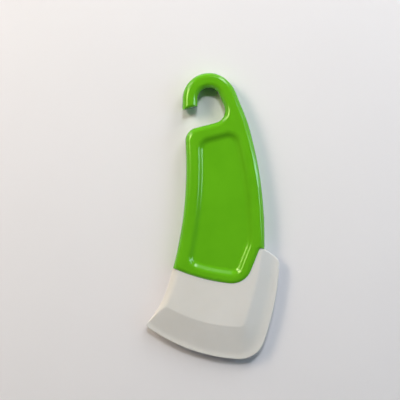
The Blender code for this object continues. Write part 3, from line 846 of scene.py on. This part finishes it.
def within(points, fence):
    """Those of the points that lie inside a closed fence."""
    points = numpy.array(points)
    inside = numpy.zeros(len(points), bool)
    for one, other in zip(fence, fence[1:] + fence[:1]):
        if one.imag != other.imag:
            passed = (points.imag < one.imag) != (points.imag < other.imag)
            across = other.real - one.real
            crossing = one.real + (points.imag - one.imag) * across / (other.imag - one.imag)
            inside ^= passed & (points.real < crossing)
    return list(points[inside])


def upper_points(facets, fence):
    """The points that carry the blade's upper face inside a fence: rows along the facets' own levels, then
    an even grid on the flat."""
    points = facets.points(LAND_ROW, 0.0)
    alongs = [SLOPE_ROW_STEP * index for index in range(SLOPE_ROWS)]
    alongs += [CREASE_ROWS_START + CREASE_ROW_STEP * index for index in range(CREASE_ROWS)]
    for along in alongs + FLAT_ROWS:
        points += facets.points(LIP_LAND, along)
    grid = []
    for row in range(GRID_COUNT):
        for column in range(GRID_COUNT):
            across = column + (row % 2) / 2 - GRID_LEFT
            up = row * math.sqrt(3) / 2 - GRID_FRONT
            grid.append(complex(across, up) * GRID_PITCH)
    flat = facets.points(LIP_LAND, GRID_START)
    return within(points, fence) + within(within(grid, flat), fence)


def add_blade_edges(sheet, facets, outline, edges, counts):
    """Rings up the rounded edges, from the parting line to the upper face. Gives the last one with its
    points."""
    half = BLADE_THICKNESS / 2
    drops = spread(outline, counts, [edge.drop for edge in edges])
    facet_drops = spread(outline, counts, [edge.facet_drop for edge in edges])
    back_softness = spread(outline, counts, [BACK_SOFTNESS] * 2 + [0.0] * 5)
    parting = [PARTING_DEPTH] * 5 + [0.0] * 2
    rings = [
        add_level_ring(sheet, trace(offset(outline, parting), counts), 0.0),
        add_level_ring(sheet, trace(outline, counts), PARTING_HALF / 2),
    ]
    for index in range(BLADE_EDGE_STEPS + 1):
        turn = math.pi / 2 * index / BLADE_EDGE_STEPS
        left = 1 - math.sin(turn)
        points = trace(offset(outline, [edge.inset * (1 - math.cos(turn)) for edge in edges]), counts)
        heights = []
        for point, drop, facet_drop, softest in zip(points, drops, facet_drops, back_softness):
            facet, softness = facets.over(point)
            softness += max(0.0, softest - softness) * left
            heights.append(lower_of(half - drop * left, facet - facet_drop * left, softness))
        rings.append(add_ring(sheet, points, heights))
    skin(sheet, rings)
    return rings[-1], points


def add_upper_face(sheet, facets, edge, edge_points, fence):
    """A fine sheet of triangles over the flat middle and the facets, joined to the last ring of the rounded
    edges. The triangles are found in plan, in millimetres."""
    scaled = [point * MILLIMETRES_PER_METRE for point in edge_points + upper_points(facets, fence)]
    plan = [Vector((point.real, point.imag)) for point in scaled]
    border = list(range(len(edge)))
    made = delaunay_2d_cdt(plan, [], [border], FACES_INSIDE, ONE_POINT_MILLIMETRES)
    verts = []
    for place, origins in zip(made[0], made[3]):
        if origins and origins[0] < len(edge):
            verts.append(edge[origins[0]])
        else:
            point = complex(place.x, place.y) / MILLIMETRES_PER_METRE
            facet, softness = facets.over(point)
            height = lower_of(BLADE_THICKNESS / 2, facet, softness)
            verts.append(sheet.verts.new((point.real, point.imag, height)))
    for face in made[2]:
        sheet.faces.new([verts[index] for index in face])


def make_blade():
    """The rounded edges, and the upper face inside them."""
    outline = blade_outline()
    counts = steps_round(outline, BLADE_STEP)
    # One rounded edge for each side of the outline, in its order
    edges = [BACK_EDGE, BACK_EDGE, LIP_EDGE, LIP_EDGE, HEEL_EDGE, COLLAR_EDGE, COLLAR_EDGE]
    fence = trace(offset(outline, [edge.inset + EDGE_MARGIN for edge in edges]), counts)
    facets = Facets()
    sheet = bmesh.new()
    last_ring, edge_points = add_blade_edges(sheet, facets, outline, edges, counts)
    add_upper_face(sheet, facets, last_ring, edge_points, fence)
    return add_piece("blade_moulding", sheet)


def matte_silicone():
    """White silicone rubber from a blasted mould: warm white, matte, faintly see-through in the thin lip,
    with a fine grain and a slight unevenness of the soft skin. The grain is drawn a few times as coarse as
    the real one, which would be too fine to show."""
    material = bpy.data.materials.new("white_silicone_matte_moulded")
    material.use_nodes = True
    tree = material.node_tree
    shader = tree.nodes["Principled BSDF"]
    place = add_node(tree, "ShaderNodeTexCoord", {}).outputs["Object"]
    cloud = add_node(
        tree, "ShaderNodeTexNoise", {"Vector": place, "Scale": grain_scale(18.0), "Detail": 4.0}
    )
    shades = add_node(tree, "ShaderNodeValToRGB", {"Fac": cloud.outputs["Fac"]})
    shades.color_ramp.elements[0].position = 0.3
    shades.color_ramp.elements[0].color = linear("D7D5D1")
    shades.color_ramp.elements[1].position = 0.7
    shades.color_ramp.elements[1].color = linear("DCDAD7")
    film = add_node(
        tree, "ShaderNodeTexNoise", {"Vector": place, "Scale": grain_scale(4.0), "Detail": 4.0}
    )
    dull = add_node(
        tree,
        "ShaderNodeMapRange",
        {"Value": film.outputs["Fac"], "From Min": 0.3, "From Max": 0.7, "To Min": 0.48, "To Max": 0.58},
    )
    grain = add_node(
        tree, "ShaderNodeTexNoise", {"Vector": place, "Scale": grain_scale(0.5), "Detail": 2.0}
    )
    fine = add_node(
        tree, "ShaderNodeBump", {"Strength": 0.3, "Distance": 0.00002, "Height": grain.outputs["Fac"]}
    )
    wave = add_node(
        tree, "ShaderNodeTexNoise", {"Vector": place, "Scale": grain_scale(9.0), "Detail": 1.0}
    )
    bump = add_node(
        tree,
        "ShaderNodeBump",
        {
            "Strength": 0.3,
            "Distance": 0.0001,
            "Height": wave.outputs["Fac"],
            "Normal": fine.outputs["Normal"],
        },
    )
    tree.links.new(shades.outputs["Color"], shader.inputs["Base Color"])
    tree.links.new(dull.outputs["Result"], shader.inputs["Roughness"])
    tree.links.new(bump.outputs["Normal"], shader.inputs["Normal"])
    shader.inputs["IOR"].default_value = 1.41
    shader.inputs["Subsurface Weight"].default_value = 0.3
    shader.inputs["Subsurface Scale"].default_value = 0.002
    shader.inputs["Subsurface Radius"].default_value = (1.0, 0.9, 0.8)
    return material


blade = make_blade()
blade.data.materials.append(matte_silicone())
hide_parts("blade")
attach(blade, "root")

# Studio: a plain pale floor under the scraper, and soft lamps round it. Some only light the scraper, some
# only show as glints in its gloss, and the others do both. The surround is pale down at the floor and
# darkens overhead, as over a copy stand.

# The floor's reach each way and its drop below the rim, the distances between which it passes into the
# background, and the heights, as sines of the elevation, between which the surround darkens
BACKGROUND = "E9E7E9"
FLOOR_REACH = 3.0
FLOOR_DROP = 0.00005
FADE_START = 0.17
FADE_END = 0.40
DARKENING_START = 0.06
DARKENING_END = 0.40


def shown_rays(tree):
    """A socket that is 1 on rays that show the background: from the camera, mirrored or refracted."""
    seen = add_node(tree, "ShaderNodeLightPath", {})
    direct = {0: seen.outputs["Is Camera Ray"], 1: seen.outputs["Is Glossy Ray"]}
    shown = add_node(tree, "ShaderNodeMath", direct, operation="MAXIMUM")
    either = {0: shown.outputs[0], 1: seen.outputs["Is Transmission Ray"]}
    return add_node(tree, "ShaderNodeMath", either, operation="MAXIMUM").outputs[0]


def pale_floor():
    """A pale matte floor that takes the scraper's shadow and passes into the plain background beyond."""
    material = bpy.data.materials.new("floor_pale_matte")
    material.use_nodes = True
    tree = material.node_tree
    shader = tree.nodes["Principled BSDF"]
    place = add_node(tree, "ShaderNodeTexCoord", {}).outputs["Object"]
    cloud = add_node(
        tree, "ShaderNodeTexNoise", {"Vector": place, "Scale": grain_scale(60.0), "Detail": 2.0}
    )
    shades = add_node(tree, "ShaderNodeValToRGB", {"Fac": cloud.outputs["Fac"]})
    shades.color_ramp.elements[0].color = linear("E4E2E6")
    shades.color_ramp.elements[1].color = linear("E7E5E9")
    tree.links.new(shades.outputs["Color"], shader.inputs["Base Color"])
    shader.inputs["Roughness"].default_value = 0.9
    shader.inputs["Specular IOR Level"].default_value = 0.1
    reach = add_node(tree, "ShaderNodeVectorMath", {0: place}, operation="LENGTH").outputs["Value"]
    far = add_node(
        tree, "ShaderNodeMapRange", {"Value": reach, "From Min": FADE_START, "From Max": FADE_END}
    )
    both = {0: far.outputs["Result"], 1: shown_rays(tree)}
    share = add_node(tree, "ShaderNodeMath", both, operation="MULTIPLY").outputs[0]
    pale = add_node(tree, "ShaderNodeEmission", {"Color": linear(BACKGROUND), "Strength": 1.0})
    mixed = add_node(
        tree, "ShaderNodeMixShader", {0: share, 1: shader.outputs["BSDF"], 2: pale.outputs["Emission"]}
    )
    tree.links.new(mixed.outputs[0], tree.nodes["Material Output"].inputs["Surface"])
    return material


sheet = bmesh.new()
bmesh.ops.create_grid(sheet, x_segments=1, y_segments=1, size=FLOOR_REACH)
bmesh.ops.translate(sheet, verts=sheet.verts[:], vec=(0.0, 0.0, -FLOOR_DROP))
mesh = bpy.data.meshes.new("floor")
sheet.to_mesh(mesh)
sheet.free()
floor = bpy.data.objects.new("floor", mesh)
floor.data.materials.append(pale_floor())
bpy.context.scene.collection.objects.link(floor)


def add_lamp(name, azimuth, elevation, distance, size, share, colour, glossy=True, diffuse=True):
    """A soft lamp aimed at the scraper. Azimuth is from +X towards +Y. A share of 1 lights white that faces
    the lamp fully. Without glossy a lamp isn't mirrored, and without diffuse it is only mirrored."""
    data = bpy.data.lights.new(name, "AREA")
    data.shape = "RECTANGLE"
    data.size, data.size_y = size
    data.color = linear(colour)[:3]
    data.energy = share * (math.pi * distance) ** 2
    around, up = math.radians(azimuth), math.radians(elevation)
    away = Vector((math.cos(around) * math.cos(up), math.sin(around) * math.cos(up), math.sin(up)))
    lamp = bpy.data.objects.new(name, data)
    lamp.location = away * distance
    lamp.rotation_euler = away.to_track_quat("Z", "Y").to_euler()
    lamp.visible_glossy = glossy
    lamp.visible_diffuse = diffuse
    bpy.context.scene.collection.objects.link(lamp)


# Azimuth and elevation in degrees, distance, size across and up, share, colour
add_lamp("key_lamp", 88, 58, 1.0, (0.12, 0.12), 0.35, "F6F9FF", glossy=False)
add_lamp("key_panel", 61, 27, 0.8, (0.22, 0.44), 0.38, "FCFEFF")
add_lamp("key_wing", 78, 34, 0.9, (0.12, 0.40), 0.025, "FCFEFF")
add_lamp("left_lamp", 150, 38, 1.0, (0.36, 0.36), 0.42, "FFEED2", glossy=False)
add_lamp("left_panel", 136, 24, 0.8, (0.24, 0.42), 0.29, "FFF4E0")
add_lamp("left_glint", 161, 49, 0.3, (0.05, 0.08), 0.14, "F0FAA0", diffuse=False)
add_lamp("bend_glint", 139, 52, 0.3, (0.07, 0.13), 0.45, "F8FAB4", diffuse=False)
add_lamp("right_strip", 12, 27, 1.2, (0.12, 0.90), 0.20, "D2F4FF")
add_lamp("right_edge_panel", 338, 25, 1.0, (0.16, 0.60), 0.09, "D8ECFF", glossy=False)
add_lamp("right_glint", 15, 43, 1.0, (0.48, 0.07), 0.14, "E0FFFF", diffuse=False)
add_lamp("front_strip", 255, 12, 1.0, (0.28, 0.30), 0.05, "FFFFFF")

world = bpy.data.worlds.new("studio")
bpy.context.scene.world = world
world.use_nodes = True
tree = world.node_tree
direction = add_node(tree, "ShaderNodeTexCoord", {}).outputs["Generated"]
height = add_node(tree, "ShaderNodeSeparateXYZ", {"Vector": direction}).outputs["Z"]
surround = add_node(tree, "ShaderNodeValToRGB", {"Fac": height})
surround.color_ramp.elements[0].position = DARKENING_START
surround.color_ramp.elements[0].color = linear(BACKGROUND)
surround.color_ramp.elements[1].position = DARKENING_END
surround.color_ramp.elements[1].color = linear("242628")
ambient = add_node(tree, "ShaderNodeBackground", {"Color": linear("FFFFFF"), "Strength": 0.05})
backdrop = add_node(tree, "ShaderNodeBackground", {"Color": surround.outputs["Color"], "Strength": 1.0})
mixed = add_node(
    tree, "ShaderNodeMixShader", {0: shown_rays(tree), 1: ambient.outputs[0], 2: backdrop.outputs[0]}
)
tree.links.new(mixed.outputs[0], tree.nodes["World Output"].inputs["Surface"])

# Camera: straight above the scraper with the hook upwards. The picture is 222 mm wide in the plane of the
# upper rim, which makes each of the photo's 400 pixels 0.555 mm.

VIEW_WIDTH = 0.222
VIEW_MIDDLE_X = -0.00728
VIEW_MIDDLE_Y = 0.00912
LENS_MILLIMETRES = 100.0
SENSOR_MILLIMETRES = 36.0
FARTHEST_SEEN = 20.0

camera_data = bpy.data.cameras.new("camera")
camera_data.sensor_width = SENSOR_MILLIMETRES
camera_data.lens = LENS_MILLIMETRES
camera_data.clip_end = FARTHEST_SEEN
camera = bpy.data.objects.new("camera", camera_data)
camera_height = HANDLE_THICKNESS + VIEW_WIDTH * LENS_MILLIMETRES / SENSOR_MILLIMETRES
camera.location = (VIEW_MIDDLE_X, VIEW_MIDDLE_Y, camera_height)
bpy.context.scene.collection.objects.link(camera)
bpy.context.scene.camera = camera

bpy.context.scene.view_settings.view_transform = "Standard"
